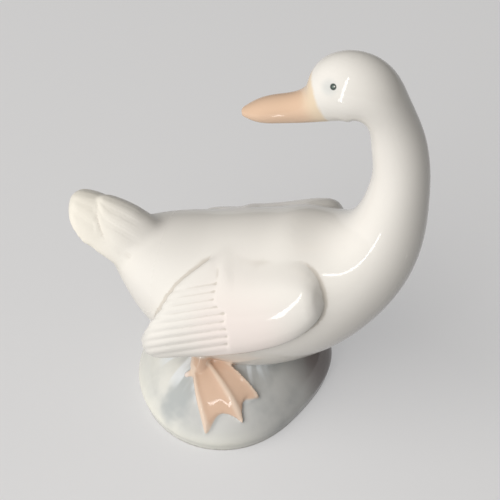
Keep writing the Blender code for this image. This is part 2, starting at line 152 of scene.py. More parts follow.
mound = {
    "radius": 30.1 * mm,
    "oval": (2.2 * mm, math.radians(-120.0)),
    "lobes": (1.2 * mm, math.radians(-80.0)),
    "egg": (0.9 * mm, math.radians(-155.0)),
    "height": 19.0 * mm,
    "rim": 3.0 * mm,
    "tuck": 1.6 * mm,  # how far the underside lies inside the widest part
    "bulge": (0.7, 0.45),  # shares of the tuck and of the rim's height, between underside and rim
    "shoulder": 0.8,
    "slope": 1.25,
    "below": 5.0 * mm,  # cut off again at the floor
}


# distance from the middle to the widest part of the mound, in a direction
def moundReach(angle):
    reach = mound["radius"]
    for name, folds in (("oval", 2.0), ("lobes", 3.0), ("egg", 1.0)):
        size, turn = mound[name]
        reach += size * math.cos(folds * (angle - turn))
    return reach


def moundHeight(x, y):
    share = math.hypot(x, y) / moundReach(math.atan2(y, x))
    turn = math.acos(min(share, 1.0) ** (1.0 / mound["shoulder"]))
    return mound["rim"] + (mound["height"] - mound["rim"]) * math.sin(turn) ** mound["slope"]


def makeMound(inset=0.0, segments=160, steps=30):
    tuck = 1.0 - mound["tuck"] / mound["radius"]
    out, up = mound["bulge"]
    profile = [
        (tuck, 0.0 if inset else -mound["below"]),
        (tuck + (1.0 - tuck) * out, mound["rim"] * up + inset),
        (1.0, mound["rim"] + inset * 1.2),
    ]
    for i in range(1, steps):
        turn = 0.5 * math.pi * i / steps
        rise = (mound["height"] - mound["rim"] - inset) * math.sin(turn) ** mound["slope"]
        profile.append((math.cos(turn) ** mound["shoulder"], mound["rim"] + rise))
    rings = []
    for share, height in profile:
        ring = []
        for i in range(segments):
            angle = 2.0 * math.pi * i / segments
            reach = share * (moundReach(angle) - inset)
            ring.append(Vector((reach * math.cos(angle), reach * math.sin(angle), height)))
        rings.append(ring)
    return loft("mound", rings)


# Folded wings

wing = {
    # from the shoulder to the tip in mm: x, distance from the middle plane and height over the seat of the
    # upper edge, the same of the lower edge, crown, half thickness of the upper edge
    "rows": [
        (28.4, 17.8, 38.4, 28.9, 19.6, 36.2, 0.9, 1.5), (26.8, 15.4, 40.8, 28.6, 21.4, 33.2, 2.1, 1.3),
        (23.0, 12.6, 42.9, 26.6, 22.9, 29.8, 3.3, 0.9), (16.8, 10.2, 43.2, 22.4, 24.2, 25.6, 4.2, 0.5),
        (8.3, 8.5, 41.6, 15.5, 25.0, 21.0, 4.7, 0.3), (-0.4, 8.6, 40.0, 8.0, 25.2, 17.4, 4.6, 0.7),
        (-5.8, 12.6, 36.9, 0.5, 24.8, 14.2, 3.8, 1.3), (-12.4, 17.6, 31.4, -7.0, 24.0, 11.4, 2.9, 1.7),
        (-17.0, 21.2, 24.7, -14.0, 23.2, 8.8, 1.8, 1.9), (-21.0, 21.2, 16.8, -20.0, 21.8, 7.0, 0.8, 1.5),
        (-23.4, 19.9, 11.9, -22.8, 20.5, 7.6, 0.2, 1.1),
    ],
    "rings": 240,
    "ringPoints": 160,
    "halfThickness": 1.9 * mm,
    "root": 5.0 * mm,
    "thickening": 0.4,  # share of the width over which the upper edge grows to the half thickness
    "roundEdge": 2.0,  # outline of a cross-section: 2 is round, more is blunter
    "bluntEdge": 5.0,
    "taper": (3.0, 0.5),
    "innermost": 6.0 * mm,  # nothing nearer the middle plane is wing
    "leftDrop": 1.0 * mm,  # the left wing lies a little lower
    "covertStep": 0.28 * mm,
    # line where the short feathers end: x at its foot, then the heights at which it steps back
    "covertStart": 4.6 * mm,
    "covertSteps": ((24.0 * mm, 1.3 * mm), (29.2 * mm, 3.7 * mm)),
    "covertBlend": 2.0 * mm,
    "covertEdge": 1.0 * mm,
    "upperFade": 0.15,  # shares of the width over which the covert's step fades out
    "lowerFade": 0.1,
    "rearStart": 2.0 * mm,
    "rearBlend": 4.0 * mm,
    "lobe": 0.9 * mm,  # feather tips along the rear edge
    "lobePitch": 5.2 * mm,
    "lobeRound": 0.7,
}

feathers = {
    "pitch": 3.15 * mm,
    "start": -6.8 * mm,
    "slope": 0.45,
    "lean": 1.0,
    "count": 8.6,
    "countFade": 0.3,
    "depth": 0.2 * mm,
    "shape": 1.6,  # the more, the narrower the grooves
    "reach": 0.45 * mm,
    "lowerFade": 0.12,  # shares of the width over which the long feathers fade out
    "innerFade": 0.08,
}


# x of the line where the long feathers come out from under the short ones
def covertLine(height):
    place = wing["covertStart"]
    for stepHeight, stepBack in wing["covertSteps"]:
        place -= stepBack * smoothStep((height - stepHeight) / wing["covertBlend"])
    return place


# rings across a wing, and for each of their points how much long feather it is
def wingRings(side):
    count, segments = wing["rings"], wing["ringPoints"]
    half = segments // 2
    steep, power = wing["taper"]
    rows = naturalCubic(np.array(wing["rows"]) * mm, count, 6)
    rows[:, (2, 5)] += seat - (wing["leftDrop"] if side > 0.0 else 0.0)
    uppers = [Vector((row[0], side * row[1], row[2])) for row in rows]
    lowers = [Vector((row[3], side * row[4], row[5])) for row in rows]
    rings, shares = [], []
    for k, (upper, lower, row) in enumerate(zip(uppers, lowers, rows)):
        ahead = uppers[min(k + 1, count - 1)] + lowers[min(k + 1, count - 1)]
        behind = uppers[max(k - 1, 0)] + lowers[max(k - 1, 0)]
        out = (ahead - behind).cross(lower - upper).normalized()
        if out.y * side < 0.0:
            out.negate()
        rear = smoothStep((wing["rearStart"] - upper.x) / wing["rearBlend"])
        lobeTurn = math.pi * (upper.z - seat - upper.x) / wing["lobePitch"]
        lobes = abs(math.sin(lobeTurn)) ** wing["lobeRound"]
        top = upper + (upper - lower).normalized() * wing["lobe"] * rear * lobes
        taper = min(1.0, math.sin(math.pi * (k + 1) / (count + 1)) * steep) ** power
        ring, feather = [], []
        for i in range(segments):
            share = i / half if i < half else 2.0 - i / half
            outward = 1.0 if i < half else -1.0
            blunt = wing["bluntEdge"] if share > 0.5 else wing["roundEdge"] + wing["bluntEdge"] * rear
            roundEdge = (1.0 - abs(2.0 * share - 1.0) ** blunt) ** 0.5
            point = top.lerp(lower, share) + out * row[6] * math.sin(math.pi * share)
            thickness = row[7] + (wing["halfThickness"] - row[7]) * smoothStep(share / wing["thickening"])
            lift = outward * thickness * taper * roundEdge
            inside = smoothStep(share / wing["upperFade"]) * smoothStep((1.0 - share) / wing["lowerFade"])
            longFeather = smoothStep((covertLine(point.z - seat) - point.x) / wing["covertEdge"])
            if i < half:
                lift += (1.0 - longFeather) * wing["covertStep"] * inside * taper
                longFeather *= smoothStep((1.0 - share) / feathers["lowerFade"])
            else:
                lift -= wing["root"] * math.sin(math.pi * share) * taper
                longFeather *= rear * smoothStep(1.0 - share / feathers["innerFade"])
            ring.append(point + out * lift)
            feather.append(longFeather)
        rings.append(ring)
        shares.append(feather)
    return rings, shares


# Tail

tail = {
    # along the ridge in mm: x, height over the seat, half width, fall to the edge, thickness
    "fan": [
        (-17.0, 33.0, 9.0, 9.0, 8.0), (-23.0, 37.2, 11.0, 9.6, 10.0), (-30.0, 40.7, 10.8, 9.8, 8.0),
        (-36.0, 43.2, 10.8, 8.8, 6.6), (-41.0, 44.8, 10.3, 7.3, 5.6), (-44.6, 45.3, 9.0, 5.1, 4.8),
        (-47.4, 44.9, 6.2, 2.6, 4.0), (-48.73, 43.6, 2.8, 1.0, 2.4),
    ],
    "covert": [
        (-22.0, 36.6, 10.6, 9.4, 9.0), (-28.0, 41.2, 10.8, 9.8, 8.0), (-34.0, 44.0, 10.4, 9.0, 6.4),
        (-37.4, 45.0, 8.8, 7.0, 5.0), (-39.4, 45.2, 5.0, 3.0, 3.4), (-40.2, 45.0, 2.2, 1.0, 2.0),
    ],
    "rings": 120,
    "ringPoints": 96,
    "fanRays": 3.0,  # feathers from the ridge to the edge
    "covertRays": 3.5,
    # shares of the length: where the rays begin, how slowly they do, and how slowly they end
    "fanFade": (0.35, 0.2, 0.1),
    "covertFade": (0.25, 0.25, 0.08),
    "fanStrength": 0.8,
    "depth": 0.12 * mm,
    "reach": 0.7 * mm,
    "roof": 1.7,
    "front": -20.0 * mm,
    "lowest": 28.0 * mm,  # over the seat
}


# rings of a roof-shaped blade, and for each of their points how far it lies from the ridge to the edge
def tailRings(table):
    count, segments = tail["rings"], tail["ringPoints"]
    rings, shares = [], []
    for x, height, half, fall, thickness in naturalCubic(np.array(table) * mm, count, 2):
        ring, share = [], []
        for i in range(segments):
            angle = 2.0 * math.pi * i / segments
            across = math.cos(angle)
            roof = seat + height - fall * abs(across) ** tail["roof"]
            ring.append(Vector((x, half * across, roof - 0.5 * thickness * (1.0 - math.sin(angle)))))
            share.append(across)
        rings.append(ring)
        shares.append(share)
    return rings, shares


# Webbed feet and short legs

foot = {
    "heel": ((-10.2, 11.5), (-6.0, 10.8)),  # corners seen from above, in mm
    "heelDraw": 1.7,  # how far the middle toe's root is drawn to the outer corner
    # each toe's turn from the breast and the distance of its tip inside the mound's rim
    "toes": (
        (math.radians(93.2), 0.8 * mm),
        (math.radians(72.0), 1.5 * mm),
        (math.radians(59.5), 6.2 * mm),
    ),
    "thickness": 1.5 * mm,
    "sink": 2.0 * mm,
    "toeRidge": 0.75 * mm,
    "toeWidth": 0.085,
    "tip": (0.25, 8),  # how much thinner the foot ends, and how late
    "scallop": 3.2 * mm,
    "scallopRound": 0.8,
    "bow": 1.6 * mm,
    "bowTurn": (-0.9, 0.4),
    "reach": 1.0 * mm,
    "spur": ((-8.6, 17.4), (-11.6, 18.6)),
    "spurRadius": 1.1 * mm,
    "spurTaper": 0.6,
    "spurLift": 0.5,
    # leg in mm: x, distance from the middle plane, height over the seat
    "thigh": ((-3.0, 9.0, 9.0), (-6.8, 13.2, 0.5)),
    "thighRadius": 6.0 * mm,
    "thighTaper": 0.55,
    "shank": ((-6.8, 12.0, 4.0), (-7.8, 17.0, -3.0)),
    "shankRadius": 2.7 * mm,
    "shankRoot": 1.2,
    # in mm: how far the paint of the legs reaches around shank and spur, and the middle of the spur
    "shankPaint": 6.4,
    "spurPaint": 3.0,
    "spurMiddle": 0.6,
    "paintHeight": 6.0 * mm,  # over the mound, and over the seat
    "paintFoot": 0.5 * mm,
}


def between(start, end, share):
    return tuple(a + (b - a) * share for a, b in zip(start, end))


# where a toe ends, in mm from the middle and from the middle plane
def toeTip(side, toe):
    turn, margin = toe
    reach = (moundReach(side * turn) - margin) / mm
    return reach * math.cos(turn), reach * math.sin(turn)


# a foot draped over the mound: rings of its top and sole, and how much toe each top point is
def footRings(side, count=90, spread=120):
    outer, middle, inner = (toeTip(side, toe) for toe in foot["toes"])
    thinning, late = foot["tip"]
    rings, shares = [], []
    for k in range(count + 1):
        along = k / count
        top, bottom, toes = [], [], []
        for i in range(spread + 1):
            share = i / spread
            if share < 0.5:
                edge = between(outer, middle, share * 2.0)
            else:
                edge = between(middle, inner, share * 2.0 - 1.0)
            heel = between(foot["heel"][0], foot["heel"][1], share ** foot["heelDraw"])
            length = math.dist(heel, edge) * mm
            web = math.sin(math.pi * ((share * 2.0) % 1.0)) ** foot["scallopRound"]
            cut = foot["scallop"] / length * web
            reach = along * (1.0 - cut)
            x, y = (value * mm for value in between(heel, edge, reach))
            bow = foot["bow"] * math.sin(math.pi * reach) * (1.0 - share) ** 2
            x += bow * foot["bowTurn"][0]
            y += bow * foot["bowTurn"][1]
            ridge = max(math.exp(-((share - toe) / foot["toeWidth"]) ** 2) for toe in (0.0, 0.5, 1.0))
            skin = moundHeight(x, y * side)
            rise = (foot["thickness"] + foot["toeRidge"] * ridge) * (1.0 - thinning * along ** late)
            top.append(Vector((x, side * y, skin + rise)))
            bottom.append(Vector((x, side * y, skin - foot["sink"])))
            toes.append(ridge)
        rings.append(top + bottom[::-1])
        shares.append(toes)
    return rings, shares


# a round-ended tapering rod
def rod(start, end, radiusStart, radiusEnd, segments=48, steps=24, blunt=6, least=0.15):
    start, end = Vector(start), Vector(end)
    turn = (end - start).to_track_quat("Z", "Y").to_matrix()
    rings = []
    for k in range(steps + 1):
        along = k / steps
        radius = radiusStart + (radiusEnd - radiusStart) * along
        radius *= max(least, math.sqrt(max(0.0, 1.0 - abs(2.0 * along - 1.0) ** blunt)))
        middle = start.lerp(end, along)
        ring = []
        for i in range(segments):
            angle = 2.0 * math.pi * i / segments
            ring.append(middle + turn @ Vector((radius * math.cos(angle), radius * math.sin(angle), 0.0)))
        rings.append(ring)
    return loft("rod", rings)


def beside(side, x, y, z):
    return Vector((x * mm, side * y * mm, seat + z * mm))


def makeThigh(side):
    ends = [beside(side, *end) for end in foot["thigh"]]
    return rod(ends[0], ends[1], foot["thighRadius"], foot["thighRadius"] * foot["thighTaper"])


def makeShank(side):
    ends = [beside(side, *end) for end in foot["shank"]]
    return rod(ends[0], ends[1], foot["shankRadius"] * foot["shankRoot"], foot["shankRadius"])


def makeSpur(side):
    ends = []
    for x, y in foot["spur"]:
        x, y = x * mm, side * y * mm
        ends.append(Vector((x, y, moundHeight(x, y) + foot["spurRadius"] * foot["spurLift"])))
    return rod(ends[0], ends[1], foot["spurRadius"], foot["spurRadius"] * foot["spurTaper"])


# One skin over all the forms

def settle(piece):
    bpy.context.view_layer.update()
    done = bpy.data.meshes.new_from_object(piece.evaluated_get(bpy.context.evaluated_depsgraph_get()))
    piece.modifiers.clear()
    piece.data = done
    return piece


def runTogether(name, forms, grain, softness):
    mesh = bpy.data.meshes.new(name)
    bm = bmesh.new()
    for form in forms:
        bm.from_mesh(form.data)
        bpy.data.objects.remove(form, do_unlink=True)
    bm.to_mesh(mesh)
    bm.free()
    skin = newPiece(name, mesh)
    remesh = skin.modifiers.new("oneSkin", "REMESH")
    remesh.mode = "VOXEL"
    remesh.voxel_size = grain
    soften = skin.modifiers.new("softJoins", "SMOOTH")
    soften.factor = 0.5
    soften.iterations = softness
    return settle(skin)


def thinOut(piece, faces):
    thin = piece.modifiers.new("fewerFaces", "DECIMATE")
    thin.ratio = min(1.0, faces / sum(len(face.vertices) - 2 for face in piece.data.polygons))
    thin.use_collapse_triangulate = True
    return settle(piece)


def mainForms():
    return [loft("body", bodyRings()), makeMound(), loft("tail", tailRings(tail["fan"])[0])]


def makeSkin():
    soft = mainForms() + [makeThigh(side) for side in (-1.0, 1.0)]
    forms = [runTogether("fillets", soft, duckBody["grain"], duckBody["softness"])] + mainForms()
    forms.append(loft("tailCovert", tailRings(tail["covert"])[0]))
    for side in (-1.0, 1.0):
        forms += [loft("wing", wingRings(side)[0]), loft("foot", footRings(side)[0])]
        forms += [makeShank(side), makeSpur(side)]
    return runTogether("porcelain_duck", forms, duckBody["skinGrain"], duckBody["skinSoftness"])


# along the wings' upper edges, the tail's root and sides and the throat
softLines = {
    "lines": (  # two ends and a reach in mm, heights over the seat
        ((0.0, 9.8, 40.5), (14.0, 10.8, 43.0), 6.0),
        ((-24.0, 0.0, 38.0), (-30.0, 10.5, 30.0), 7.0),
        ((-38.0, 10.0, 33.0), (-30.0, 10.5, 28.0), 5.0),
        ((24.0, 0.0, 83.5), (37.0, 0.0, 82.0), 6.5),
    ),
    "softness": 90,
}


def nearness(place, start, end, reach):
    start, end = Vector(start), Vector(end)
    along = (place - start).dot(end - start) / (end - start).length_squared
    gap = (place - start.lerp(end, min(max(along, 0.0), 1.0))).length
    return smoothStep(2.0 - 2.0 * gap / reach)


def softenAlong(piece):
    group = piece.vertex_groups.new(name="softLines")
    for vert in piece.data.vertices:
        place = Vector((vert.co.x, abs(vert.co.y), vert.co.z - seat)) / mm
        near = max(nearness(place, *line) for line in softLines["lines"])
        if near > 0.0:
            group.add((vert.index,), near, "REPLACE")
    soften = piece.modifiers.new("softLines", "SMOOTH")
    soften.factor = 0.5
    soften.iterations = softLines["softness"]
    soften.vertex_group = group.name
    settle(piece)
    piece.vertex_groups.clear()


duck = makeSkin()
softenAlong(duck)
print("skin over the forms:", len(duck.data.polygons), "faces")


# Marks on the skin, read from the forms that lie nearest: how much long feather, tail, foot or toe

def marksFrom(points, values, spread):
    tree = KDTree(len(points))
    for i, point in enumerate(points):
        tree.insert(point, i)
    tree.balance()

    def markAt(place):
        _, i, gap = tree.find(place)
        return values[i], 1.0 - smoothStep(gap / spread - 1.0)
    return markAt


def flat(rows):
    return [item for row in rows for item in row]


wingPoints, wingShares = [], []
for side in (-1.0, 1.0):
    rings, shares = wingRings(side)
    wingPoints += flat(rings)
    wingShares += flat(shares)
wingMark = marksFrom(wingPoints, wingShares, feathers["reach"])


# how much long feather there is at a place, and how near it lies to a wing
def featherAt(place):
    value, near = wingMark(place) if abs(place.y) > wing["innermost"] else (0.0, 0.0)
    return value * near, near


def setMark(mesh, name, values):
    mark = mesh.attributes.get(name) or mesh.attributes.new(name, "FLOAT", "POINT")
    mark.data.foreach_set("value", np.asarray(values, dtype=np.float32))


tailMarks = {}
for name in ("fan", "covert"):
    rings, shares = tailRings(tail[name])
    points, values = [], []
    for k, (ring, share) in enumerate(zip(rings, shares)):
        along = k / (tail["rings"] - 1)
        for i, (point, across) in enumerate(zip(ring, share)):
            upper = 1.0 if i < tail["ringPoints"] // 2 else 0.0
            points.append(point)
            values.append((across, upper, along))
    tailMarks[name] = marksFrom(points, values, tail["reach"])


def rayFade(along, start, rise, end):
    return smoothStep((along - start) / rise) * smoothStep((1.0 - along) / end)


# the tail's rays: where a point lies across its feathers, and how deep the groove may be there
def tailRay(place):
    if place.x > tail["front"] or place.z < seat + tail["lowest"]:
        return 0.0, 0.0
    (across, upper, along), near = tailMarks["covert"](place)
    if near > 0.5:
        return across * tail["covertRays"], upper * near * rayFade(along, *tail["covertFade"])
    (across, upper, along), near = tailMarks["fan"](place)
    depth = upper * near * rayFade(along, *tail["fanFade"]) * tail["fanStrength"]
    return across * tail["fanRays"], depth


def markForRelief(piece):
    verts = piece.data.vertices
    setMark(piece.data, "longFeather", [featherAt(vert.co)[0] for vert in verts])
    rays = [tailRay(vert.co) for vert in verts]
    setMark(piece.data, "tailTurn", [ray[0] for ray in rays])
    setMark(piece.data, "tailRay", [ray[1] for ray in rays])


markForRelief(duck)


# Node trees, with maths written as Python

class Wire:
    def __init__(self, nodes, socket):
        self.nodes = nodes
        self.socket = socket

    def math(self, operation, *others):
        values = dict(enumerate((self,) + others))
        return self.nodes.add("ShaderNodeMath", {"operation": operation}, values)

    def __add__(self, other):
        return self.math("ADD", other)

    def __radd__(self, other):
        return self.math("ADD", other)

    def __sub__(self, other):
        return self.math("SUBTRACT", other)

    def __rsub__(self, other):
        return self.nodes.add("ShaderNodeMath", {"operation": "SUBTRACT"}, {0: other, 1: self})

    def __mul__(self, other):
        return self.math("MULTIPLY", other)

    def __truediv__(self, other):
        return self.math("DIVIDE", other)

    def __pow__(self, other):
        return self.math("POWER", other)

    # 0 below low, 1 above high, and smooth in between
    def smooth(self, low, high):
        settings = {"interpolation_type": "SMOOTHSTEP"}
        return self.nodes.add("ShaderNodeMapRange", settings, {0: self, 1: low, 2: high, 3: 0.0, 4: 1.0})


class Nodes:
    def __init__(self, tree):
        self.tree = tree
        tree.nodes.clear()

    # a node of a kind, its settings first, then the values or links of its sockets
    def add(self, kind, settings=None, values=None, output=0):
        node = self.tree.nodes.new(kind)
        for name, value in (settings or {}).items():
            setattr(node, name, value)
        for name, value in (values or {}).items():
            if isinstance(value, Wire):
                self.tree.links.new(value.socket, node.inputs[name])
            else:
                node.inputs[name].default_value = value
        return Wire(self, node.outputs[output]) if node.outputs else node

    def mix(self, share, low, high):
        return self.add("ShaderNodeMix", {"data_type": "RGBA"}, {0: share, 6: low, 7: high}, output=2)


# soft feathers side by side: 0 along the middle of one, 1 in the groove between two
def grooves(turn):
    return (0.5 + (turn * math.tau).math("COSINE") * 0.5) ** feathers["shape"]


def reliefTree():
    tree = bpy.data.node_groups.new("pressedRelief", "GeometryNodeTree")
    nodes = Nodes(tree)
    face = tree.interface
    face.new_socket("Geometry", in_out="INPUT", socket_type="NodeSocketGeometry")
    for name in ("Pitch", "Slope", "Lean", "Count", "Depth"):
        face.new_socket("feather" + name, in_out="INPUT", socket_type="NodeSocketFloat")
    for name in ("tailDepth", "start"):
        face.new_socket(name, in_out="INPUT", socket_type="NodeSocketFloat")
    face.new_socket("glaze", in_out="INPUT", socket_type="NodeSocketMaterial")
    face.new_socket("Geometry", in_out="OUTPUT", socket_type="NodeSocketGeometry")
    group = tree.nodes.new("NodeGroupInput")
    given = {socket.name: Wire(nodes, socket) for socket in group.outputs if socket.name}
    mark = {}
    for name in ("longFeather", "tailTurn", "tailRay"):
        mark[name] = nodes.add("GeometryNodeInputNamedAttribute", {"data_type": "FLOAT"}, {"Name": name})
    place = nodes.add("GeometryNodeInputPosition")
    x = nodes.add("ShaderNodeSeparateXYZ", None, {0: place}, output=0)
    y = nodes.add("ShaderNodeSeparateXYZ", None, {0: place}, output=1)
    z = nodes.add("ShaderNodeSeparateXYZ", None, {0: place}, output=2)
    across = z - given["start"] - x * given["featherSlope"] - y.math("ABSOLUTE") * given["featherLean"]
    turn = across / given["featherPitch"]
    feather = grooves(turn) * mark["longFeather"] * given["featherDepth"]
    last = given["featherCount"]
    feather = feather * (1.0 - turn.smooth(last - feathers["countFade"], last))
    ray = grooves(mark["tailTurn"]) * mark["tailRay"] * given["tailDepth"]
    normal = nodes.add("GeometryNodeInputNormal")
    inward = (feather + ray) * -1.0
    push = nodes.add("ShaderNodeVectorMath", {"operation": "SCALE"}, {0: normal, "Scale": inward})
    moved = nodes.add("GeometryNodeSetPosition", None, {"Geometry": given["Geometry"], "Offset": push})
    real = nodes.add("GeometryNodeRealizeInstances", None, {0: moved})
    dressed = nodes.add("GeometryNodeSetMaterial", None, {"Geometry": real, "Material": given["glaze"]})
    result = tree.nodes.new("NodeGroupOutput")
    tree.links.new(dressed.socket, result.inputs[0])
    return tree


glaze = bpy.data.materials.new("glaze")


def pressRelief(piece):
    sizes = {
        "featherPitch": feathers["pitch"],
        "featherSlope": feathers["slope"],
        "featherLean": feathers["lean"],
        "featherCount": feathers["count"],
        "featherDepth": feathers["depth"],
        "tailDepth": tail["depth"],
        "start": seat + feathers["start"],
        "glaze": glaze,
    }
    relief = piece.modifiers.new("relief", "NODES")
    relief.node_group = reliefTree()
    for socket in relief.node_group.interface.items_tree:
        if socket.in_out == "INPUT" and socket.name in sizes:
            relief[socket.identifier] = sizes[socket.name]
    settle(piece)


pressRelief(duck)
print("relief pressed")


# Underside, vent and the room inside

vent = {
    "x": -13.0 * mm,
    "radius": 3.5 * mm,
    "bevel": 0.4 * mm,
    "segments": 64,
    "throat": 8.0 * mm,
    "weld": 0.002 * mm,
}


# level cut at a height, closed by a flat face with the vent's round hole in it
def levelWithVent(bm, height, ring):
    everything = list(bm.verts) + list(bm.edges) + list(bm.faces)
    found = bmesh.ops.bisect_plane(
        bm, geom=everything, plane_co=(0.0, 0.0, height), plane_no=(0.0, 0.0, 1.0), clear_inner=True)
    rim = [item for item in found["geom_cut"] if isinstance(item, bmesh.types.BMEdge)]
    hole = [bm.edges.new((ring[i - 1], ring[i])) for i in range(len(ring))]
    bmesh.ops.triangle_fill(bm, edges=rim + hole, use_beauty=True)


def ventRing(bm, radius, height):
    ring = []
    for i in range(vent["segments"]):
        angle = 2.0 * math.pi * i / vent["segments"]
        ring.append(bm.verts.new((vent["x"] + radius * math.cos(angle), radius * math.sin(angle), height)))
    return ring


def makeRoom():
    wall = duckBody["wall"]
    forms = [loft("bodyRoom", bodyRings(inset=wall)), makeMound(inset=wall)]
    forms.append(rod((0.0, 0.0, wall * 2.0), (0.0, 0.0, seat + wall * 2.0), vent["throat"], vent["throat"]))
    room = runTogether("room", forms, duckBody["roomGrain"], duckBody["roomSoftness"])
    return thinOut(room, duckBody["roomFaces"])


def hollowOut(piece):
    wall = duckBody["wall"]
    room = makeRoom()
    bm = bmesh.new()
    bm.from_mesh(room.data)
    upper = ventRing(bm, vent["radius"], wall)
    levelWithVent(bm, wall, upper)
    bmesh.ops.recalc_face_normals(bm, faces=bm.faces)
    bmesh.ops.reverse_faces(bm, faces=bm.faces)
    bm.to_mesh(room.data)
    bm.free()
    bm = bmesh.new()
    bm.from_mesh(piece.data)
    lower = ventRing(bm, vent["radius"] + vent["bevel"], 0.0)
    levelWithVent(bm, 0.0, lower)
    bmesh.ops.recalc_face_normals(bm, faces=bm.faces)
    neck = ventRing(bm, vent["radius"], vent["bevel"])
    top = ventRing(bm, vent["radius"], wall)
    for low, high in ((lower, neck), (neck, top)):
        for i in range(len(low)):
            bm.faces.new((low[i - 1], high[i - 1], high[i], low[i]))
    bm.from_mesh(room.data)
    bmesh.ops.remove_doubles(bm, verts=bm.verts, dist=vent["weld"])
    bm.to_mesh(piece.data)
    bm.free()
    bpy.data.objects.remove(room, do_unlink=True)


thinOut(duck, duckBody["skinFaces"])
hollowOut(duck)
duck.data.shade_smooth()
print("hollowed:", sum(len(face.vertices) - 2 for face in duck.data.polygons), "triangles")


# Where each colour of the glaze lies

footPoints, footToes = [], []
for side in (-1.0, 1.0):
    rings, shares = footRings(side)
    for ring, toes in zip(rings, shares):
        footPoints += ring[:len(toes)]
        footToes += toes
footMark = marksFrom(footPoints, footToes, foot["reach"])
creaseRounds = 24


# how hollow the skin is around each point, from a smoothed copy: above 0 in a crease
def creases(mesh, rounds):
    count = len(mesh.vertices)
    places = np.empty(count * 3, np.float64)
    mesh.vertices.foreach_get("co", places)
    places = places.reshape(-1, 3)
    ends = np.empty(len(mesh.edges) * 2, np.int64)
    mesh.edges.foreach_get("vertices", ends)
    ends = ends.reshape(-1, 2)
    degree = np.bincount(ends.ravel(), minlength=count)[:, None]
    soft = places.copy()
    for _ in range(rounds):
        total = np.zeros_like(soft)
        for axis in range(3):
            total[:, axis] = np.bincount(ends[:, 0], soft[ends[:, 1], axis], count)
            total[:, axis] += np.bincount(ends[:, 1], soft[ends[:, 0], axis], count)
        soft = 0.5 * soft + 0.5 * total / np.maximum(degree, 1)
    normals = np.empty(count * 3, np.float32)
    mesh.vertices.foreach_get("normal", normals)
    return ((soft - places) * normals.reshape(-1, 3)).sum(axis=1)


def markForPaint(piece):
    mesh = piece.data
    lifts, feet, toes, ankles = [], [], [], []
    spur = [(x, y, (moundHeight(x * mm, y * mm) - seat) / mm + foot["spurMiddle"]) for x, y in foot["spur"]]
    for vert in mesh.vertices:
        place = vert.co
        low = Vector((place.x, abs(place.y), place.z - seat)) / mm
        shankNear = nearness(low, *foot["shank"], foot["shankPaint"])
        ankles.append(max(shankNear, nearness(low, *spur, foot["spurPaint"])))
        lift = place.z - moundHeight(place.x, place.y)
        lifts.append(lift / mm)
        if max(lift, place.z - seat) > foot["paintHeight"] or place.z < foot["paintFoot"]:
            feet.append(0.0)
            toes.append(0.0)
            continue
        toe, near = footMark(place)
        feet.append(near)
        toes.append(toe * near)
    setMark(mesh, "overMound", lifts)
    setMark(mesh, "nearFoot", feet)
    setMark(mesh, "toe", toes)
    setMark(mesh, "ankle", ankles)
    setMark(mesh, "crease", creases(mesh, creaseRounds) / mm)
    setMark(mesh, "wingShare", [featherAt(vert.co)[1] for vert in mesh.vertices])


markForPaint(duck)
print("marked for paint")


# Glaze

glazeLook = {
    "white": (0.865, 0.835, 0.785, 1.0),
    "warm": (0.830, 0.815, 0.780, 1.0),
    # painted shade in the creases, together with glaze pooling there
    "poolAndShadeTint": (0.620, 0.570, 0.500, 1.0),
    "blush": (0.900, 0.795, 0.755, 1.0),
    # a warmer cream at the tail, also painted lighter as painted light on it
    "tailCreamAndLight": (0.930, 0.885, 0.790, 1.0),
    "bill": (0.755, 0.535, 0.380, 1.0),
    "billPale": (0.830, 0.680, 0.500, 1.0),
    "foot": (0.735, 0.520, 0.385, 1.0),
    "toe": (0.830, 0.660, 0.530, 1.0),
    "mound": (0.690, 0.690, 0.670, 1.0),
    "moundCloud": (0.550, 0.560, 0.550, 1.0),
    "moundCream": (0.850, 0.840, 0.760, 1.0),
    "moundBlue": (0.470, 0.495, 0.495, 1.0),
    # dark painted shadow and painted dark reflection for the mound's front far side
    "moundShadowAndReflection": (0.290, 0.255, 0.250, 1.0),
    "moundStreaks": (0.820, 0.850, 0.870, 1.0),
    "eye": (0.060, 0.080, 0.072, 1.0),
    "eyeCentre": (0.220, 0.270, 0.240, 1.0),
    "eyeHalo": (0.560, 0.600, 0.600, 1.0),
    "biscuit": (0.800, 0.770, 0.710, 1.0),
    "eyePlace": (26.7, 7.0, 117.0),  # mm, as the sizes below
    "eyeRadius": 0.85,
    "eyeEdge": 0.15,
    "eyeCentreSize": (0.1, 0.55),
    "haloShift": (-1.2, -0.4),
    "haloSize": (0.6, 3.2),
    "haloShare": 0.45,
    # a painted highlight in each eye: where it sits and how large it is
    "eyeHighlightShift": (0.3, 0.15),
    "eyeHighlightSize": (0.12, 0.3),
    "bluePlace": (-11.5, -22.0),
    "blueSize": (5.5, 7.0),
    "blueShare": 0.9,
    "blushShare": 0.7,
    "poolAndShadeShare": 0.75,
    "streakShare": 0.85,
    "cloudNoise": (95.0, 3.0),  # scale and detail
    "fineNoise": (900.0, 2.0),
    "driftNoise": (40.0, 2.0),
    "streakNoise": (330.0, 1.0),
    "bumpNoise": (420.0, 1.0),
    "bumpStrength": 0.05,
    "bumpDistance": 0.2 * mm,
    "index": 1.52,
    "roughness": 0.07,
    "roughBiscuit": 0.55,
    "roughTail": 0.3,
    "roughGrain": 0.02,
}


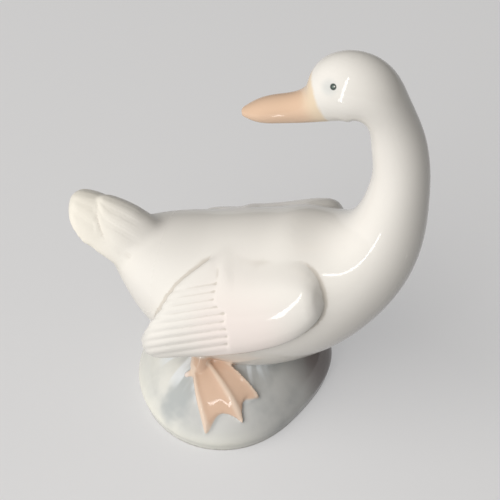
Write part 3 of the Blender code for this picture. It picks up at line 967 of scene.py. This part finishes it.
def paintGlaze(material):
    material.use_nodes = True
    nodes = Nodes(material.node_tree)
    coords = nodes.add("ShaderNodeTexCoord", output=3)
    x, y, z = (nodes.add("ShaderNodeSeparateXYZ", None, {0: coords}, output=i) / mm for i in range(3))
    mark = {}
    for name in ("overMound", "nearFoot", "toe", "ankle", "crease", "longFeather", "wingShare"):
        mark[name] = nodes.add("ShaderNodeAttribute", {"attribute_name": name}, output=2)

    def noise(scale, detail, vector=coords):
        return nodes.add("ShaderNodeTexNoise", None, {"Vector": vector, "Scale": scale, "Detail": detail})

    cloud = noise(*glazeLook["cloudNoise"])
    fine = noise(*glazeLook["fineNoise"])
    drift = noise(*glazeLook["driftNoise"])

    # porcelain, warmer and lighter at the tail, partly its cream and partly painted light, blushed on the
    # wing, greyer in its creases with glaze pooling and painted shade
    colour = nodes.mix((drift - 0.4) * 0.25, glazeLook["white"], glazeLook["warm"])
    # the tail is painted warmer and lighter: partly its cream tone, partly painted light where the light
    # falls on it
    colour = nodes.mix((0.0 - x).smooth(24.0, 44.0), colour, glazeLook["tailCreamAndLight"])
    blush = mark["wingShare"] * (x + cloud * 8.0).smooth(-8.0, 8.0) * (26.0 - x).smooth(0.0, 14.0)
    blush = blush * (62.0 - z).smooth(0.0, 16.0)
    colour = nodes.mix(blush * glazeLook["blushShare"], colour, glazeLook["blush"])
    # painted shade and glaze pooling: the hollower the skin around a point, the greyer and darker it is
    # painted
    crease = (mark["crease"] * 6.0).smooth(0.15, 1.0) * glazeLook["poolAndShadeShare"]
    colour = nodes.mix(crease, colour, glazeLook["poolAndShadeTint"])

    # mound: clouded grey, cream along its rim and at its rear, with a blue patch, a dark painted shadow and
    # reflection on its front far side, and pale streaks under the belly
    turn = y.math("ARCTAN2", x) * 17.0 * mm
    fromMiddle = (x ** 2.0 + y ** 2.0).math("SQRT") * 0.15 * mm
    streak = nodes.add("ShaderNodeCombineXYZ", None, {"X": turn, "Y": fromMiddle})
    paleStreaks = noise(*glazeLook["streakNoise"], streak)
    clouds = (cloud * 0.65 + drift * 0.35).smooth(0.40, 0.62)
    ground = nodes.mix(clouds, glazeLook["moundCloud"], glazeLook["mound"])
    rim = (9.5 - z).smooth(0.0, 8.0) * (20.0 - x).smooth(0.0, 16.0)
    cream = rim * 0.8 + (0.0 - x + cloud * 30.0 - 15.0).smooth(4.0, 26.0) * 0.5
    ground = nodes.mix(cream.math("MINIMUM", 1.0), ground, glazeLook["moundCream"])
    (blueX, blueY), (blueLength, blueWidth) = glazeLook["bluePlace"], glazeLook["blueSize"]
    spread = (((x - blueX) / blueLength) ** 2.0 + ((y - blueY) / blueWidth) ** 2.0).math("SQRT")
    blue = (1.0 - (spread + (cloud - 0.5) * 1.6).smooth(0.5, 1.3)) * glazeLook["blueShare"]
    ground = nodes.mix(blue, ground, glazeLook["moundBlue"])
    # painted shadow and dark reflection on the mound's front far side
    shade = (x + cloud * 10.0).smooth(20.0, 29.0) * (y + cloud * 8.0).smooth(-8.0, 5.0)
    ground = nodes.mix(shade, ground, glazeLook["moundShadowAndReflection"])
    # pale streaks on the mound just under the belly
    under = (z + cloud * 2.0).smooth(13.0, 16.0) * paleStreaks.smooth(0.46, 0.60) * (14.0 - x).smooth(0.0, 5.0)
    ground = nodes.mix(under * glazeLook["streakShare"], ground, glazeLook["moundStreaks"])
    onMound = 1.0 - (mark["overMound"] + cloud * 1.2).smooth(1.4, 4.2)
    colour = nodes.mix(onMound, colour, ground)

    # feet: peach, paler along the toes
    above = mark["overMound"].smooth(0.25, 0.75)
    feet = mark["nearFoot"] * above * (1.0 - mark["overMound"].smooth(5.0, 6.0))
    ankle = mark["ankle"] * above * (1.0 - z.smooth(seat / mm + 2.2, seat / mm + 3.6))
    pale = mark["toe"].smooth(0.35, 0.95).math("MAXIMUM", ankle * (0.0 - x).smooth(8.0, 10.0))
    skin = nodes.mix(pale, glazeLook["foot"], glazeLook["toe"])
    skin = nodes.mix(ankle * (0.0 - x).smooth(9.6, 11.0) * 0.7, skin, glazeLook["blush"])
    colour = nodes.mix(feet.math("MAXIMUM", ankle), colour, skin)

    # bill: peach, paler where it meets the head
    border = 20.9 + (115.4 - z) * 0.46 - x + (fine - 0.5) * 0.8
    onHead = z.smooth(98.0, 100.0)
    bill = nodes.mix((border - 1.0).smooth(0.0, 6.5), glazeLook["billPale"], glazeLook["bill"])
    colour = nodes.mix(border.smooth(-0.6, 1.0) * onHead, colour, bill)

    # eyes: a small dark grey-green dot with a lighter centre, a painted highlight and a pale halo towards
    # the bill
    eyeX, eyeY, eyeZ = glazeLook["eyePlace"]

    # distance from a place beside the eye's middle
    def fromEye(shiftX=0.0, shiftZ=0.0):
        side = y.math("ABSOLUTE") - eyeY
        return ((x - eyeX - shiftX) ** 2.0 + side ** 2.0 + (z - eyeZ - shiftZ) ** 2.0).math("SQRT")

    gap = fromEye()
    radius, edge = glazeLook["eyeRadius"], glazeLook["eyeEdge"]
    halo = (1.0 - fromEye(*glazeLook["haloShift"]).smooth(*glazeLook["haloSize"])) * glazeLook["haloShare"]
    colour = nodes.mix(halo, colour, glazeLook["eyeHalo"])
    dot = nodes.mix(gap.smooth(*glazeLook["eyeCentreSize"]), glazeLook["eyeCentre"], glazeLook["eye"])
    colour = nodes.mix(1.0 - gap.smooth(radius - edge, radius + edge), colour, dot)
    # a painted highlight: a tiny white dot beside the eye's middle
    eyeHighlight = fromEye(*glazeLook["eyeHighlightShift"]).smooth(*glazeLook["eyeHighlightSize"])
    colour = nodes.mix(1.0 - eyeHighlight, colour, glazeLook["white"])

    # the underside is bare biscuit
    bare = 1.0 - z.smooth(0.15, 0.45)
    colour = nodes.mix(bare, colour, glazeLook["biscuit"])
    duller = (0.0 - x).smooth(2.0, 32.0) * z.smooth(30.0, 40.0)  # the glaze thins out towards the tail
    rough = bare * glazeLook["roughBiscuit"] + duller * glazeLook["roughTail"] + glazeLook["roughness"]
    rough = rough + (fine - 0.5) * glazeLook["roughGrain"]

    bump = nodes.add("ShaderNodeBump", None, {
        "Strength": glazeLook["bumpStrength"],
        "Distance": glazeLook["bumpDistance"],
        "Height": noise(*glazeLook["bumpNoise"]),
    })
    shader = nodes.add("ShaderNodeBsdfPrincipled", None, {
        "Base Color": colour,
        "Roughness": rough,
        "IOR": glazeLook["index"],
        "Normal": bump,
    })
    result = material.node_tree.nodes.new("ShaderNodeOutputMaterial")
    material.node_tree.links.new(shader.socket, result.inputs["Surface"])


paintGlaze(glaze)
duck.data.materials.clear()
duck.data.materials.append(glaze)
print("glaze painted")

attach(duck, "root")
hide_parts("duck_figurine")


# Studio: a pale floor, soft light from the left, a narrow window, and the photograph's view

studio = {
    "azimuth": 13.0,
    "elevation": 42.0,
    "lens": 90.0,
    "sensor": 36.0,
    "clip": (0.01, 20.0),
    "distance": 359.14 * mm,
    "target": (4.022 * mm, 0.929 * mm, 51.744 * mm),
    "floorSize": 6.0,
    "floorRoughness": 0.6,
    "floorColour": (0.40, 0.395, 0.39, 1.0),
    "floorLift": (0.36, 0.36, 0.365, 1.0),  # only for the camera and for mirrored rays
    "world": (1.0, 0.98, 0.95, 1.0),
    "worldStrength": 0.18,
    "softKey": {
        "place": (-0.86, -0.96, 1.05),
        "size": (2.2, 1.8),
        "power": 29.5,
        "colour": (1.0, 0.985, 0.96),
        "aim": (0.0, 0.0, 0.06),
    },
    "window": {
        "low": (-0.034, -0.195, 0.018),
        "high": (-0.022, -0.205, 0.33),
        "width": 0.016,
        "power": 0.115,
        "aim": (0.02, 0.0, 0.07),
    },
}


def makeFloor():
    half = studio["floorSize"] / 2.0
    mesh = bpy.data.meshes.new("floor")
    corners = [(-half, -half, 0.0), (half, -half, 0.0), (half, half, 0.0), (-half, half, 0.0)]
    mesh.from_pydata(corners, [], [(0, 1, 2, 3)])
    floor = newPiece("floor", mesh)
    paint = bpy.data.materials.new("paleFloor")
    paint.use_nodes = True
    nodes = Nodes(paint.node_tree)
    seen = nodes.add("ShaderNodeLightPath", output=0)
    mirrored = nodes.add("ShaderNodeLightPath", output=3)
    plain = {"Base Color": studio["floorColour"], "Roughness": studio["floorRoughness"]}
    lifted = dict(plain, **{"Emission Color": studio["floorLift"], "Emission Strength": 1.0})
    shader = nodes.add("ShaderNodeMixShader", None, {
        0: seen.math("MAXIMUM", mirrored),
        1: nodes.add("ShaderNodeBsdfPrincipled", None, plain),
        2: nodes.add("ShaderNodeBsdfPrincipled", None, lifted),
    })
    result = paint.node_tree.nodes.new("ShaderNodeOutputMaterial")
    paint.node_tree.links.new(shader.socket, result.inputs["Surface"])
    mesh.materials.append(paint)


def newLamp(name, width, height, power):
    lamp = bpy.data.lights.new(name, "AREA")
    lamp.shape = "RECTANGLE"
    lamp.size, lamp.size_y = width, height
    lamp.energy = power
    holder = bpy.data.objects.new(name, lamp)
    bpy.context.scene.collection.objects.link(holder)
    return holder


# a broad lamp that faces the duck
def makeSoftKey():
    key = studio["softKey"]
    holder = newLamp("softKey", *key["size"], key["power"])
    holder.data.color = key["colour"]
    holder.location = key["place"]
    holder.rotation_euler = (Vector(key["aim"]) - Vector(key["place"])).to_track_quat("-Z", "Y").to_euler()
    holder.visible_glossy = False  # too broad a light to leave its edges in the glaze


# a narrow lamp from one point to another, that faces the duck
def makeWindow():
    window = studio["window"]
    low, high = Vector(window["low"]), Vector(window["high"])
    holder = newLamp("window", window["width"], (high - low).length, window["power"])
    up = (high - low).normalized()
    middle = (low + high) / 2.0
    away = middle - Vector(window["aim"])
    away = (away - up * away.dot(up)).normalized()
    turn = Matrix((up.cross(away), up, away)).transposed()
    holder.matrix_world = Matrix.Translation(middle) @ turn.to_4x4()


def makeCamera():
    lens = bpy.data.cameras.new("camera")
    lens.sensor_width = studio["sensor"]
    lens.lens = studio["lens"]
    lens.clip_start, lens.clip_end = studio["clip"]
    camera = bpy.data.objects.new("camera", lens)
    bpy.context.scene.collection.objects.link(camera)
    azimuth, elevation = math.radians(studio["azimuth"]), math.radians(studio["elevation"])
    back = Vector((
        math.sin(azimuth) * math.cos(elevation),
        -math.cos(azimuth) * math.cos(elevation),
        math.sin(elevation),
    ))
    camera.location = Vector(studio["target"]) + back * studio["distance"]
    camera.rotation_euler = (-back).to_track_quat("-Z", "Y").to_euler()
    bpy.context.scene.camera = camera


makeFloor()
makeSoftKey()
makeWindow()
makeCamera()
world = bpy.data.worlds.new("studio")
bpy.context.scene.world = world
world.use_nodes = True
world.node_tree.nodes["Background"].inputs["Color"].default_value = studio["world"]
world.node_tree.nodes["Background"].inputs["Strength"].default_value = studio["worldStrength"]
bpy.context.scene.view_settings.view_transform = "Standard"
print("studio set")
